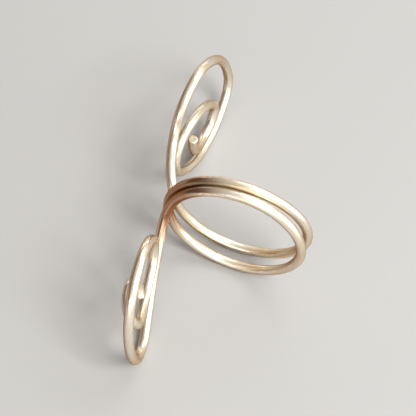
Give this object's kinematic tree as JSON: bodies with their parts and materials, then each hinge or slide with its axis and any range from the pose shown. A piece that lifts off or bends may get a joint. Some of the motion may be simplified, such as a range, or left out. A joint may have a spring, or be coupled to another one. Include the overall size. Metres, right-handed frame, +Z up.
{
  "type": "wire ring",
  "caption": "Finger ring bent from one round wire: a coil round the finger, with an open flat scroll at each end lying along the finger.",
  "frame": {"origin": "middle of the ring's outline in plan, on the surface it lies on", "axes": "+Z up from the surface; the finger goes along Y, the larger scroll on its +Y side; the scrolls stand at the -X side of the coil"},
  "size_m": [0.0228, 0.048, 0.0202],
  "materials": {
    "silver_wire": "polished by hand, slightly worn and warm from wear"
  },
  "bodies": {
    "root": {"ring_wire": "silver_wire"}
  },
  "joints": []
}
